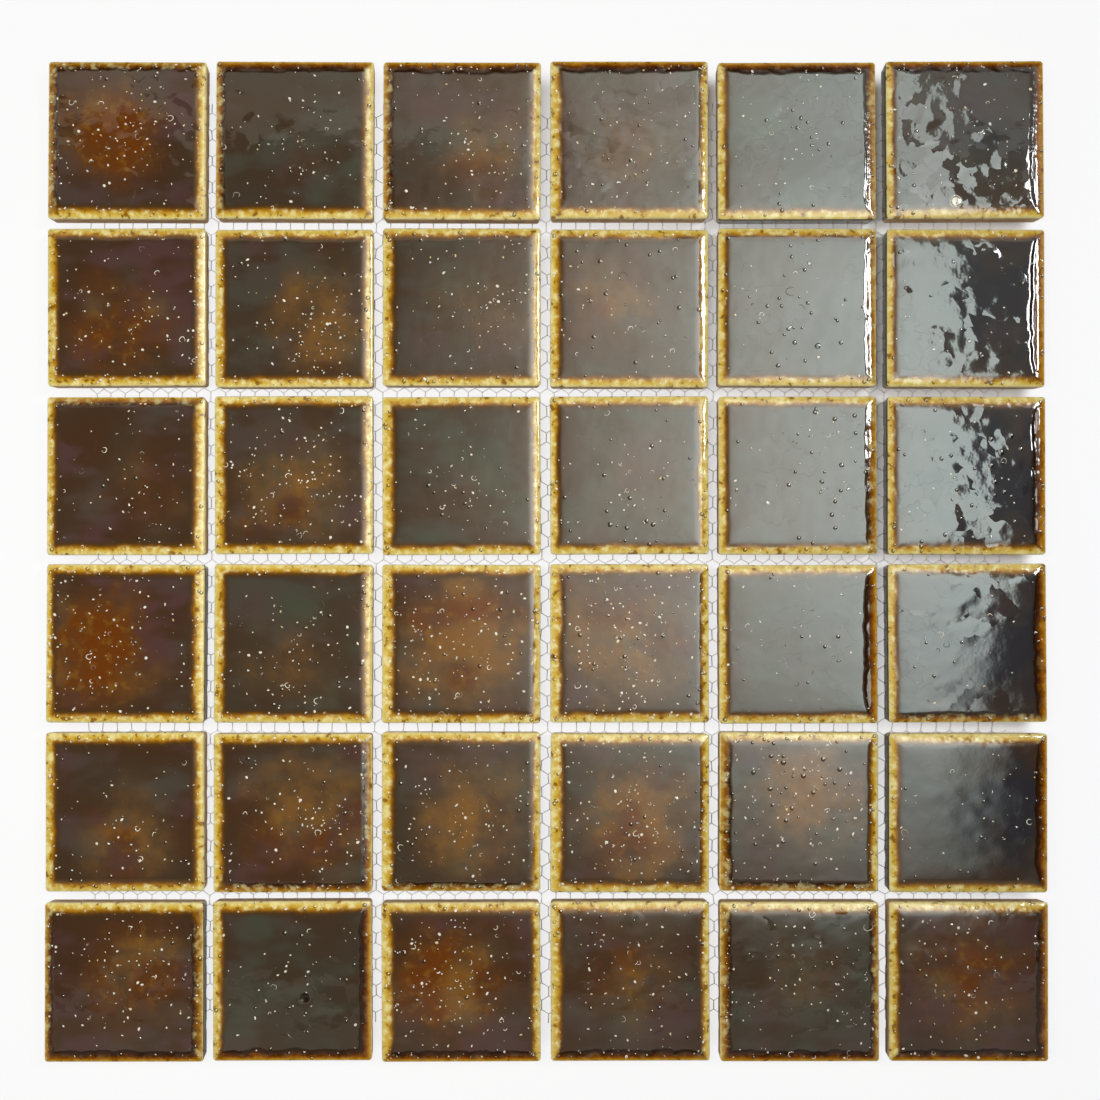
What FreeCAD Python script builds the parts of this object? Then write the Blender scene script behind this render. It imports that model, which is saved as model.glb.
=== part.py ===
import FreeCAD, Part

import math
import os

# A mosaic tile sheet: square glazed tiles, laid face up in rows on a backing net that keeps their joints even.
# Millimetres. X runs along a row, Y up a column, and Z up from the underside of the net.

# The sheet
rows = 6
columns = 6
joint = 3.0

# One tile, as it leaves the press and the kiln
tile_side = 48.0
tile_height = 6.0
rim_width = 3.4
rim_slope_deg = 24.0
nose_radius = 0.6
side_draft = 0.3
corner_radius = 1.0

# The keying grooves across a tile's back
groove_count = 4
groove_width = 3.2
groove_depth = 0.5

# The backing net
net_thickness = 0.4
net_margin = 8.5

# How far a tile strays from its place, because the tiles are laid by hand
lay_shift = 0.2
lay_turn_deg = 0.25

half_side = tile_side / 2
pitch = tile_side + joint
overshoot = tile_side


def vec(x, z):
    return FreeCAD.Vector(x, 0, z)


def mirrored(point):
    return FreeCAD.Vector(-point.x, point.y, point.z)


def around(centre, radius, angle):
    """The point on a circle in the section, with the angle counted outward from straight up."""
    return centre + vec(radius * math.sin(angle), radius * math.cos(angle))


def line(start, end):
    return Part.LineSegment(start, end).toShape()


def arc(start, middle, end):
    return Part.Arc(start, middle, end).toShape()


def tile_section():
    """The outline across a tile: flat top, sloped shoulder, rounded nose, drafted sides and flat back."""
    slope = math.radians(rim_slope_deg)
    shoulder_radius = (rim_width - nose_radius) / math.sin(slope) + nose_radius
    shoulder = vec(half_side - rim_width, tile_height - shoulder_radius)
    nose = shoulder + vec(
        (shoulder_radius - nose_radius) * math.sin(slope),
        (shoulder_radius - nose_radius) * math.cos(slope),
    )
    draft = math.atan2(side_draft, nose.z)
    nose_end_angle = math.pi / 2 + draft

    top = around(shoulder, shoulder_radius, 0)
    shoulder_middle = around(shoulder, shoulder_radius, slope / 2)
    shoulder_end = around(shoulder, shoulder_radius, slope)
    nose_middle = around(nose, nose_radius, (slope + nose_end_angle) / 2)
    nose_end = around(nose, nose_radius, nose_end_angle)
    back = vec(nose_end.x - nose_end.z * math.tan(draft), 0)

    right = [
        arc(top, shoulder_middle, shoulder_end),
        arc(shoulder_end, nose_middle, nose_end),
        line(nose_end, back),
    ]
    left = [
        line(mirrored(back), mirrored(nose_end)),
        arc(mirrored(nose_end), mirrored(nose_middle), mirrored(shoulder_end)),
        arc(mirrored(shoulder_end), mirrored(shoulder_middle), mirrored(top)),
    ]
    outline = right + [line(back, mirrored(back))] + left + [line(mirrored(top), top)]
    return Part.Face(Part.Wire(outline))


def tile_body():
    """The section run both ways and kept where the runs meet, so that the shoulders mitre at the corners."""
    section = tile_section()
    section.translate(FreeCAD.Vector(0, -overshoot, 0))
    run_along_y = section.extrude(FreeCAD.Vector(0, 2 * overshoot, 0))
    run_along_x = run_along_y.copy()
    run_along_x.rotate(FreeCAD.Vector(0, 0, 0), FreeCAD.Vector(0, 0, 1), 90)
    return run_along_y.common(run_along_x).Solids[0]


def corner_rounding():
    """An upright square bar with rounded corners, as wide as the tile at its nose."""
    bar = Part.makeBox(
        tile_side, tile_side, 3 * tile_height, FreeCAD.Vector(-half_side, -half_side, -tile_height)
    )
    upright = [edge for edge in bar.Edges if abs(edge.Vertexes[0].Z - edge.Vertexes[1].Z) > tile_height]
    return bar.makeFillet(corner_radius, upright)


def keying_grooves():
    """Grooves from side to side across the back, evenly spaced."""
    spacing = tile_side / (groove_count + 1)
    grooves = []
    for number in range(groove_count):
        middle = -half_side + (number + 1) * spacing
        corner = FreeCAD.Vector(-overshoot, middle - groove_width / 2, -groove_depth)
        grooves.append(Part.makeBox(2 * overshoot, groove_width, 2 * groove_depth, corner))
    return Part.makeCompound(grooves)


def tile():
    return tile_body().common(corner_rounding()).Solids[0].cut(keying_grooves()).Solids[0]


def stray(row, column):
    """A hand-laid tile's shift along X and Y and its turn, each from -1 to 1 of the most that it strays."""
    return (
        math.sin(12.9 * row + 7.2 * column),
        math.sin(4.1 * row + 9.7 * column + 2.0),
        math.sin(8.3 * row + 5.6 * column + 4.0),
    )


def laid_tile(pressed, row, column):
    """One tile on the net, with row 1 at the top and column 1 at the left, seen from above."""
    shift_x, shift_y, turn = stray(row, column)
    placed = pressed.copy()
    placed.rotate(FreeCAD.Vector(0, 0, 0), FreeCAD.Vector(0, 0, 1), turn * lay_turn_deg)
    placed.translate(
        FreeCAD.Vector(
            (column - (columns + 1) / 2) * pitch + shift_x * lay_shift,
            ((rows + 1) / 2 - row) * pitch + shift_y * lay_shift,
            net_thickness,
        )
    )
    return placed


def laid_tiles():
    pressed = tile()
    return {
        f"tile_row_{row}_column_{column}": laid_tile(pressed, row, column)
        for row in range(1, rows + 1)
        for column in range(1, columns + 1)
    }


def backing_net():
    """The net's outer shape. It stops short of the sheet's edges, so that sheets can be laid side by side."""
    width = columns * pitch - joint - 2 * net_margin
    length = rows * pitch - joint - 2 * net_margin
    return Part.makeBox(width, length, net_thickness, FreeCAD.Vector(-width / 2, -length / 2, 0))


def centred(shapes):
    """The shapes moved along X and Y, so that the middle of them all is at the origin."""
    box = Part.makeCompound(list(shapes.values())).BoundBox
    for shape in shapes.values():
        shape.translate(FreeCAD.Vector(-box.Center.x, -box.Center.y, 0))
    return shapes


os.makedirs("parts", exist_ok=True)
sheet = centred({"backing_net": backing_net(), **laid_tiles()})
for name, shape in sheet.items():
    shape.exportStep(f"parts/{name}.step")
    print(name, shape.isValid(), round(shape.Volume, 1), len(shape.Faces))
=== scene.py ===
import math
from collections import namedtuple

import bpy
import numpy as np
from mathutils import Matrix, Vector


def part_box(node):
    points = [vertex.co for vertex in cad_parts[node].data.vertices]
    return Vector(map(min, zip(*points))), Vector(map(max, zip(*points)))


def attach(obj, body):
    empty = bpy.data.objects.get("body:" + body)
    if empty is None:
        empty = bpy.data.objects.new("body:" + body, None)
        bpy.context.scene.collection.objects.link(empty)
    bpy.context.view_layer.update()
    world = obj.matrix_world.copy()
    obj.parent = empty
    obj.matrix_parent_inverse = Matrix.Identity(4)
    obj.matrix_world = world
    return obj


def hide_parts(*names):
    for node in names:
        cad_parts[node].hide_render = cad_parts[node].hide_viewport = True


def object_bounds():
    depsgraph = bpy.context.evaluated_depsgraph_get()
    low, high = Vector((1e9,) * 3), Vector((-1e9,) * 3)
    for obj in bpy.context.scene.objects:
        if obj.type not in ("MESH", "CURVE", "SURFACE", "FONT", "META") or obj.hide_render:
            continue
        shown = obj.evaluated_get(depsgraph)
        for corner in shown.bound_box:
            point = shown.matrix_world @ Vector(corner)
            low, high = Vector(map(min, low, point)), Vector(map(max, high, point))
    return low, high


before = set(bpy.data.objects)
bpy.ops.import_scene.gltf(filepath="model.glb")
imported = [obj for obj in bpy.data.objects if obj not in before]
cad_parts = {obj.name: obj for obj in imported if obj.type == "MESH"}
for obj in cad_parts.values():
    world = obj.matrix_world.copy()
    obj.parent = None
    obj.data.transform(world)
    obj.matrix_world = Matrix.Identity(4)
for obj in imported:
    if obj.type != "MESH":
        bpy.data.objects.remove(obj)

cad_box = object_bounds()
MM = 0.001

# The tile, in millimetres from its own centre and its own back
HALF_SIDE = 24.0
TILE_HEIGHT = 6.0
RIM_WIDTH = 3.4
RIM_SLOPE = math.radians(24.0)
NOSE_RADIUS = 0.6
SIDE_DRAFT = 0.3
CORNER_RADIUS = 1.0
LAY_TURN = math.radians(0.25)

# The keying grooves across a tile's back
GROOVE_COUNT = 4
GROOVE_WIDTH = 3.2
GROOVE_DEPTH = 0.5

# The glaze's pool: its thickness, how far in it starts and how much further at a deep brown side, the
# width over which it rises at a soft and at a crisp side, and the room left for its waves
POOL_THICKNESS = 0.14
POOL_INSET = 2.7
DEEP_SHIFT = 0.8
SOFT_RISE = 3.2
CRISP_RISE = 1.3
WAVE_ROOM = 0.08

# Its waves' longest and shortest length and their count, and the lengths of the lobes along its edge
LONG_WAVES = (30, 12, 9)
SHORT_WAVES = (9, 2.6, 16)
LOBE_LENGTH = 5.2
RIPPLE_LENGTH = 1.9

# How far the glaze droops at a soft side and rolls over at a deep right side, with the length over
# which each fades, and the length over which two sides blend at a mitre
DROOP = 0.11
DROOP_REACH = 2.2
ROLL = 0.12
ROLL_REACH = 1.6
MITRE_BLEND = 0.3

# What stands up from the glaze or sinks into it. A bulge is a dome's height as a share of its radius.
LUMP_HEIGHT = 0.03
PIT_DEPTH = 0.5
CRYSTAL_RADII = (0.2, 0.52)
CRYSTAL_BULGE = 0.5
BUBBLE_RADII = (0.3, 0.6)
BUBBLE_BULGE = 0.45
# The next two shape the small cream domes beside bubbles, which are painted glints.
PAINTED_GLINT_BULGE = 0.2
PAINTED_GLINT_LIFT = 0.075
LIP_RADII = (0.35, 0.9)
TALLEST_BLISTER = 0.11
TALLEST_LIP = 0.10

# The mesh of a tile's top
RIM_ZONE = 5.2
RIM_LINES = 18
MIDDLE_LINES = 44

# The backing net, in millimetres
CELL_WIDTH = 4.4
CELL_PERIOD = 8.1
THREAD_WIDTH = 0.24
THREAD_HEIGHT = 0.2
UPRIGHT_WEIGHT = 1.15
SLANT_WEIGHT = 0.85
KNOT_OVERLAP = 0.1
KNOT_JITTER = 0.22
NET_SWAY = (0.5, 0.4)
NET_MARGIN = 0.7

ROWS = 6
COLUMNS = 6

# What each tile's glaze did in the kiln. rust is how much of its iron shows as orange, or below 0 how
# much darker grey the pool is painted, as painted shade. at is that patch's middle and spread its reach.
# green turns plum to bottle green, wavy is how uneven it is, and bubbles and crystals are counts. sides
# names the sides (l, r, t, b) where the pool ends in a sharp dark line, in capitals where the rim is
# nearly all brown; on the sheet's outer sides these dark rims are partly painted shade.
Glaze = namedtuple("Glaze", "rust at spread green wavy bubbles crystals sides")

GLAZES = [
    [
        (1.00, (-3, 2), 10, 0.1, 2.0, 6, 110, "lt"),
        (0.10, (5, -6), 9, 0.7, 1.2, 10, 55, "lT"),
        (0.45, (8, -4), 9, 0.4, 1.2, 14, 90, "lT"),
        (0.38, (2, -3), 10, 0.5, 2.0, 14, 60, "T"),
        (0.05, (0, 0), 9, 0.8, 1.2, 18, 30, "Tr"),
        (-0.3, (8, 2), 14, 0.4, 2.6, 22, 40, "TR"),
    ],
    [
        (0.60, (-1, -7), 12, 0.1, 0.8, 6, 90, ""),
        (0.50, (8, -4), 11, 0.5, 0.8, 12, 110, ""),
        (0.35, (8, 0), 10, 0.6, 0.8, 16, 80, ""),
        (0.45, (-5, 3), 12, 0.4, 0.8, 16, 40, ""),
        (0.00, (0, 0), 9, 0.7, 0.9, 26, 20, "r"),
        (-0.5, (8, 0), 20, 0.6, 1.9, 16, 20, "R"),
    ],
    [
        (0.25, (5, -6), 12, 0.15, 0.8, 6, 60, "t"),
        (0.60, (0, -6), 12, 0.5, 0.8, 12, 120, ""),
        (0.15, (6, -6), 10, 0.8, 0.8, 12, 60, ""),
        (0.20, (4, -2), 10, 0.6, 0.8, 18, 50, ""),
        (0.10, (10, 6), 9, 0.7, 0.9, 10, 30, "r"),
        (-0.6, (8, 0), 20, 0.5, 2.0, 20, 24, "R"),
    ],
    [
        (0.95, (-9, -2), 12, 0.2, 0.8, 8, 120, ""),
        (0.25, (0, -6), 12, 0.8, 0.8, 14, 80, ""),
        (0.80, (0, 1), 14, 0.4, 0.8, 14, 140, ""),
        (0.70, (-3, 1), 13, 0.4, 0.8, 24, 130, ""),
        (0.00, (0, 0), 9, 0.7, 0.8, 12, 20, "R"),
        (-0.6, (8, 0), 20, 0.6, 1.4, 14, 16, "Rb"),
    ],
    [
        (0.50, (1, -8), 11, 0.3, 0.8, 6, 60, ""),
        (0.50, (4, -2), 15, 0.3, 0.8, 8, 90, "rb"),
        (0.60, (4, -2), 12, 0.6, 0.8, 10, 110, "b"),
        (0.75, (3, -3), 12, 0.5, 0.8, 14, 140, ""),
        (0.65, (2, 4), 13, 0.5, 0.8, 44, 100, "lb"),
        (-0.6, (10, 0), 14, 0.6, 0.8, 8, 20, "R"),
    ],
    [
        (0.60, (5, 3), 11, 0.15, 1.3, 6, 70, "lrB"),
        (0.00, (0, 0), 9, 0.8, 1.8, 12, 40, "RB"),
        (1.00, (-3, 2), 11, 0.2, 0.8, 8, 130, "B"),
        (0.45, (-2, 5), 12, 0.4, 1.5, 12, 100, "B"),
        (0.25, (2, 2), 10, 0.7, 1.8, 12, 70, "lrB"),
        (0.60, (0, 2), 14, 0.2, 1.3, 8, 60, "RB"),
    ],
]

# How far each tile's pool has flowed to the right, in millimetres
FLOW = [
    (0.2, 0.0, 0.0, 0.4, -0.5, -0.7),
    (0.3, 0.1, 0.3, -0.1, -0.5, -0.9),
    (-0.2, 0.5, 0.6, -0.5, -0.6, -0.8),
    (-0.4, 0.4, 0.9, 0.5, -0.5, -0.5),
    (0.3, 0.2, 0.7, 0.6, 0.3, -0.2),
    (-0.3, 0.2, 0.6, 0.4, 0.2, -0.3),
]

# Tiles, by row and column, and their sides whose walls are glazed and painted dark brown, as painted
# shade in the joints
SHADED_WALLS = {
    (1, 1): "t", (1, 5): "b", (1, 6): "lr", (2, 6): "lr", (3, 6): "lr", (4, 1): "r",
    (4, 6): "lr", (5, 6): "lr", (6, 1): "r", (6, 2): "b", (6, 6): "r",
}

# Single blemishes that stand out: a tile's row and column, a place and a radius in millimetres, how far
# the lip's ring is open in radians, and its pallor, from -1 for a pit painted dark inside as painted
# shade to 1 for a cream pearl
Blemish = namedtuple("Blemish", "row column u v radius opening pallor")

BLEMISHES = [
    (6, 2, 3.9, -4.8, 1.75, 1.6, -0.6),
    (6, 2, 3.9, -5.0, 4.4, 3.6, 0.1),
    (1, 6, -3.2, -19.1, 1.7, 0.0, 1.0),
    (3, 2, 17.6, -12.7, 1.9, 0.9, 0.5),
    (3, 2, 1.8, -18.5, 0.7, 1.8, 0.8),
    (2, 5, -2.3, 4.5, 1.3, 1.2, 0.4),
    (1, 3, 14.6, 6.7, 2.4, 3.9, 0.2),
    (5, 6, -19.5, -5.8, 0.95, 0.8, 0.8),
    (2, 3, -3.5, 15.9, 0.9, 2.2, 0.6),
    (1, 2, -17.4, -17.2, 0.9, 2.0, 0.8),
    (4, 3, -5.9, -21.6, 1.1, 1.0, 0.7),
    (4, 2, 8.2, 11.5, 1.3, 1.2, 0.4),
    (2, 4, -2.0, 9.5, 1.2, 0.8, 0.4),
    (6, 5, 20.5, 17.0, 1.4, 2.4, 0.9),
]

# Dark drops that stand out, by their tile: place and radius in millimetres
DROPS = {
    (2, 4): [
        (-16, 17, 0.5), (-9, 14, 0.6), (-1, 19, 0.5), (6, 16, 0.5),
        (13, 9, 0.5), (15, 0, 0.6), (-12, 2, 0.6),
    ],
    (2, 5): [
        (-2, 15, 0.55), (6, 20, 0.5), (3, 1, 0.55), (-5, 0, 0.5), (-1, -11, 0.65), (6, -12, 0.85),
        (13, -11, 0.6), (-6, -18, 0.6), (-8, -14, 0.5), (-3, -7, 0.5), (-12, -5, 0.5), (4, -2, 0.5),
    ],
    (3, 4): [
        (0, -7, 0.6), (-7, -11, 0.5), (-6, -15, 0.7), (-1, -16, 0.6), (5, -14, 0.6), (7, -15, 0.65),
    ],
    (3, 5): [
        (5, 19, 0.6), (11, 17, 0.65), (17, 18, 0.6), (13, 3, 0.7), (-1, 1, 0.5), (-3, -3, 0.55),
        (7, -2, 0.6), (11, -8, 0.55), (10, -12, 0.65), (11, -16, 0.55), (0, -19, 0.6),
    ],
    (3, 6): [
        (7, 11, 0.75), (10, 7, 0.95), (13, 12, 0.85), (7, 3, 0.8), (8, -2, 0.85), (11, -5, 0.65),
        (8, -6, 0.6), (16, 8, 0.6), (14, -14, 0.55), (-8, 5, 0.6), (2, 2, 0.5), (-7, -18, 0.6),
    ],
    (5, 5): [
        (-14, 12, 0.7), (-5, 15, 0.75), (1, 11, 0.7), (7, 16, 0.65), (12, 13, 0.7), (4, 6, 0.6),
        (-9, 7, 0.65),
    ],
}


# Noise

def hashed(i, j, seed):
    """A fixed random number from -1 to 1 for each whole i and j."""
    n = (i * 374761393 + j * 668265263 + seed * 974634777) & 0xFFFFFFFF
    n = ((n ^ (n >> 13)) * 1274126177) & 0xFFFFFFFF
    return ((n ^ (n >> 16)) & 0xFFFF) / 32767.5 - 1.0


def lattice_noise(x, y, cell, seed):
    """Smooth noise from -1 to 1, with one random value at each corner of a grid of that cell."""
    i, j = np.floor(x / cell).astype(np.int64), np.floor(y / cell).astype(np.int64)
    s, t = x / cell - i, y / cell - j
    s, t = s * s * (3 - 2 * s), t * t * (3 - 2 * t)
    low = hashed(i, j, seed) * (1 - s) + hashed(i + 1, j, seed) * s
    high = hashed(i, j + 1, seed) * (1 - s) + hashed(i + 1, j + 1, seed) * s
    return low * (1 - t) + high * t


def line_noise(x, cell, seed):
    """The same noise along a line."""
    return lattice_noise(x, np.zeros_like(x), cell, seed)


def ripples(x, y, longest, shortest, count, rng):
    """A calm uneven surface: waves of every direction, with slopes of about 1 in root mean square."""
    total = np.zeros_like(x)
    for _ in range(count):
        length = longest * (shortest / longest) ** rng.random()
        heading, phase = rng.random(2) * math.tau
        k = math.tau / length
        total += np.sin(k * (x * math.cos(heading) + y * math.sin(heading)) + phase) / k
    return total * math.sqrt(2 / count)


def smooth_step(x, low, high):
    t = np.clip((x - low) / (high - low), 0, 1)
    return t * t * (3 - 2 * t)


# Objects

def add_object(name, data):
    made = bpy.data.objects.new(name, data)
    bpy.context.scene.collection.objects.link(made)
    return made


def mesh_object(name, points, faces, material):
    """A smooth mesh of one material. Its points are an array, in metres."""
    mesh = bpy.data.meshes.new(name)
    mesh.from_pydata(points.tolist(), [], faces)
    mesh.polygons.foreach_set("use_smooth", [True] * len(mesh.polygons))
    mesh.materials.append(material)
    return add_object(name, mesh)


# The form of a tile

SHOULDER_RADIUS = (RIM_WIDTH - NOSE_RADIUS) / math.sin(RIM_SLOPE) + NOSE_RADIUS
FLAT_END = HALF_SIDE - RIM_WIDTH
SHOULDER_END = FLAT_END + SHOULDER_RADIUS * math.sin(RIM_SLOPE)
BODY_HEIGHT = TILE_HEIGHT - POOL_THICKNESS - WAVE_ROOM
NOSE_HEIGHT = BODY_HEIGHT - SHOULDER_RADIUS + (SHOULDER_RADIUS - NOSE_RADIUS) * math.cos(RIM_SLOPE)


def shoulder_height(reach):
    """The pressed body's height where the nearest side is reach from the middle."""
    run = np.clip(reach - FLAT_END, 0, SHOULDER_RADIUS * 0.9)
    return BODY_HEIGHT - SHOULDER_RADIUS + np.sqrt(SHOULDER_RADIUS**2 - run**2)


def round_corners(u, v, radius):
    """Moves points of square rings onto the same rings with rounded corners."""
    reach = np.maximum(np.abs(u), np.abs(v))
    core = reach - radius
    a, b = np.maximum(np.abs(u) - core, 0), np.maximum(np.abs(v) - core, 0)
    shrink = np.where((a > 0) & (b > 0), radius / np.maximum(np.hypot(a, b), 1e-9), 1.0)
    return (
        np.sign(u) * (np.minimum(np.abs(u), core) + a * shrink),
        np.sign(v) * (np.minimum(np.abs(v), core) + b * shrink),
    )


def soft_reach(u, v):
    """The larger of the two distances from the middle, with a slightly softened mitre."""
    softness = 0.08
    a, b = np.abs(u), np.abs(v)
    return np.maximum(a, b) + softness * np.log1p(np.exp(-np.abs(a - b) / softness))


def side_blend(u, v, values):
    """A value given for each side, blended where two sides meet, and more widely further in."""
    insets = {"l": HALF_SIDE + u, "r": HALF_SIDE - u, "b": HALF_SIDE + v, "t": HALF_SIDE - v}
    nearest = HALF_SIDE - np.maximum(np.abs(u), np.abs(v))
    length = MITRE_BLEND + 0.5 * np.maximum(nearest - 1.2, 0)
    weights = {side: np.exp((nearest - inset) / length) for side, inset in insets.items()}
    return sum(weights[side] * values[side] for side in insets) / sum(weights.values())


class TileForm:
    """The surface of one glazed tile, and what its glaze is like at each point."""

    def __init__(self, row, column):
        place = (row, column)
        self.glaze, self.flow = Glaze(*GLAZES[row - 1][column - 1]), FLOW[row - 1][column - 1]
        self.blemishes = [Blemish(*values) for values in BLEMISHES if values[:2] == place]
        self.shaded_walls = SHADED_WALLS.get(place, "")
        self.seed = 100 * row + column
        self.rng = np.random.default_rng(self.seed)
        self.tilt = self.rng.normal(0, 0.002, 2)
        self.wave_seed = int(self.rng.integers(1 << 30))
        drops = np.array(DROPS.get(place, []), float).reshape(-1, 3)
        small = scattered(self, 8 + self.glaze.bubbles, on_rim=0.55, in_patch=0.25)
        self.bubbles = np.concatenate([small, drops[:, :2]])
        self.bubble_radii = np.concatenate([self.rng.uniform(*BUBBLE_RADII, len(small)), drops[:, 2]])

    def undulation(self, u, v):
        long_waves = ripples(u, v, *LONG_WAVES, np.random.default_rng(self.wave_seed))
        short_waves = ripples(u, v, *SHORT_WAVES, np.random.default_rng(self.wave_seed + 1))
        rough = smooth_step(lattice_noise(u, v, 9, self.seed + 5), -0.3, 0.6)
        return 0.0035 * long_waves + self.glaze.wavy * (0.002 + 0.008 * rough) * short_waves

    def crisp(self, u, v):
        """0 beside a soft side, 1 beside a crisp one and 2 beside a deep brown one."""
        sides = self.glaze.sides
        values = {side: (side in sides) + 2 * (side.upper() in sides) for side in "lrtb"}
        return side_blend(u, v, values)

    def edge_stray(self, u, v):
        """How far the pool reaches out: lobes that meet in cusps, or gentle waves on a soft side."""
        strays = {}
        for number, (side, along) in enumerate({"l": v, "r": v, "b": u, "t": u}.items()):
            lobes = line_noise(along, LOBE_LENGTH, self.seed + 11 * number)
            ripple = line_noise(along, RIPPLE_LENGTH, self.seed + 11 * number + 5)
            if side in self.glaze.sides.lower():
                strays[side] = 0.7 * (0.3 - np.abs(lobes)) + 0.35 * (0.3 - np.abs(ripple))
            else:
                strays[side] = 0.3 * lobes + 0.12 * ripple
        strays["l"] -= self.flow
        strays["r"] += self.flow if self.flow < 0 else 0.6 * self.flow
        return side_blend(u, v, strays)

    def inset(self, u, v):
        """How far in from the tile's edge, straying as the glaze's own edge does."""
        plain = HALF_SIDE - np.maximum(np.abs(u), np.abs(v))
        return plain + self.edge_stray(u, v) * smooth_step(plain, 0.6, 2.4)

    def pit(self, u, v):
        """1 inside a pit, falling to 0 at its lip."""
        depth = np.zeros_like(u)
        for blemish in self.blemishes:
            if blemish.pallor < 0:
                away = np.hypot(u - blemish.u, v - blemish.v) / blemish.radius
                depth = np.maximum(depth, 1 - smooth_step(away, 0.5, 1.1))
        return depth

    def swells(self, u, v):
        """The glaze bulges softly round each bubble."""
        total = np.zeros_like(u)
        for (bubble_u, bubble_v), radius in zip(self.bubbles, self.bubble_radii):
            total += 0.05 * radius * np.exp(-0.5 * ((u - bubble_u) ** 2 + (v - bubble_v) ** 2))
        return total

    def height(self, u, v):
        inset, crisp = self.inset(u, v), self.crisp(u, v)
        sharp, deep = np.minimum(crisp, 1), np.maximum(crisp - 1, 0)
        start, width = POOL_INSET + DEEP_SHIFT * deep, SOFT_RISE + (CRISP_RISE - SOFT_RISE) * sharp
        pool = POOL_THICKNESS * smooth_step(inset, start - width / 2, start + width / 2)
        droop = DROOP * (1 - sharp) * np.exp(-np.maximum(inset - POOL_INSET, 0) / DROOP_REACH)
        deep_right = 1.0 * ("R" in self.glaze.sides)
        rolled = side_blend(u, v, {"l": 0.0, "r": deep_right, "t": 0.0, "b": 0.0})
        droop += ROLL * rolled * np.exp(-np.maximum(inset - POOL_INSET, 0) / ROLL_REACH)
        lean = self.tilt[0] * u + self.tilt[1] * v
        lumps = LUMP_HEIGHT * lattice_noise(u, v, 1.7, self.seed + 2) * smooth_step(-inset, -3.2, -1.6)
        calm = smooth_step(inset, 0.3, 3.0)
        waves = (self.undulation(u, v) + lean + self.swells(u, v)) * calm
        waves = waves + lumps * smooth_step(inset, 0.2, 0.8)
        pressed = shoulder_height(soft_reach(u, v))
        return pressed + pool - droop * calm + waves - PIT_DEPTH * self.pit(u, v)

    def rust(self, u, v):
        g = self.glaze
        pushed_u = u + 4.0 * lattice_noise(u, v, 9.0, self.seed + 21)
        pushed_v = v + 4.0 * lattice_noise(u, v, 9.0, self.seed + 22)
        away = np.hypot(pushed_u - g.at[0], pushed_v - g.at[1]) / g.spread
        cloud = 0.6 * lattice_noise(u, v, 7.0, self.seed + 3)
        cloud = cloud + 0.4 * lattice_noise(u, v, 3.0, self.seed + 4)
        return np.clip(g.rust * np.exp(-0.5 * away**2) * (1.0 + 0.6 * cloud), -1, 1)

    def tone(self, u, v):
        return np.clip(self.glaze.green + 0.4 * lattice_noise(u, v, 10.0, self.seed + 6), 0, 1)

    def speck(self, u, v):
        """How thickly pale crystals lie: most of them round the iron."""
        g = self.glaze
        near = np.exp(-0.5 * (np.hypot(u - g.at[0], v - g.at[1]) / (1.2 * g.spread)) ** 2)
        cloud = lattice_noise(u, v, 6.0, self.seed + 9)
        return np.clip(g.crystals / 140 * (0.45 + 0.6 * near + 0.35 * cloud), 0, 1)

    def values(self, u, v):
        """What the material reads at each point."""
        return {
            "inset": self.inset(u, v),
            "crisp": self.crisp(u, v),
            "rust": self.rust(u, v),
            "tone": self.tone(u, v),
            "speck": self.speck(u, v),
            "wavy": self.glaze.wavy,
        }


class MeshParts:
    """Points, faces and the glaze's values at each point, gathered piece by piece."""

    DEFAULTS = {
        "inset": 9.0, "crisp": 0.0, "rust": 0.0, "tone": 0.5, "speck": 0.2, "wavy": 1.0,
        "glaze": 1.0, "blister": 0.0,
    }

    def __init__(self):
        self.points, self.faces, self.values = [], [], []
        self.count = 0

    def add(self, points, faces, **values):
        points = np.asarray(points, float)
        columns = [values.get(label, default) for label, default in self.DEFAULTS.items()]
        columns = [np.broadcast_to(np.asarray(column, float), len(points)) for column in columns]
        self.points.append(points)
        self.values.append(np.stack(columns, axis=1))
        self.faces.extend([[i + self.count for i in face] for face in faces])
        self.count += len(points)

    def to_object(self, name, points, material):
        """The gathered mesh, with its points moved to those given in metres."""
        piece = mesh_object(name, points, self.faces, material)
        values = np.concatenate(self.values)
        for column, label in enumerate(self.DEFAULTS):
            layer = piece.data.attributes.new(label, "FLOAT", "POINT")
            layer.data.foreach_set("value", np.ascontiguousarray(values[:, column], dtype=np.float32))
        return piece


def grid_lines():
    """Lines across a tile, close together over the rims and further apart over the middle."""
    start = HALF_SIDE - RIM_ZONE
    rim = np.linspace(start, SHOULDER_END, RIM_LINES)
    middle = np.linspace(-start, start, MIDDLE_LINES)[1:-1]
    return np.concatenate([-rim[::-1], middle, rim])


def add_top(parts, form):
    """The glazed face. Returns the points along its edge, which the sides continue."""
    lines = grid_lines()
    n = len(lines)
    square_u, square_v = (a.ravel() for a in np.meshgrid(lines, lines))
    reach = np.maximum(np.abs(square_u), np.abs(square_v))
    u, v = round_corners(square_u, square_v, CORNER_RADIUS * smooth_step(reach, 18.0, SHOULDER_END))
    z = form.height(square_u, square_v)
    grid = np.arange(n * n).reshape(n, n)
    corners = [grid[:-1, :-1], grid[:-1, 1:], grid[1:, 1:], grid[1:, :-1]]
    faces = np.stack(corners, axis=2).reshape(-1, 4)
    # Inside a pit the glaze is painted dark, as painted shade.
    pit = -form.pit(square_u, square_v)
    parts.add(np.stack([u, v, z], axis=1), faces, blister=pit, **form.values(square_u, square_v))
    edge = np.concatenate([grid[0], grid[1:, -1], grid[-1, -2::-1], grid[-2:0:-1, 0]])
    return edge, square_u[edge], square_v[edge]


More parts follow.
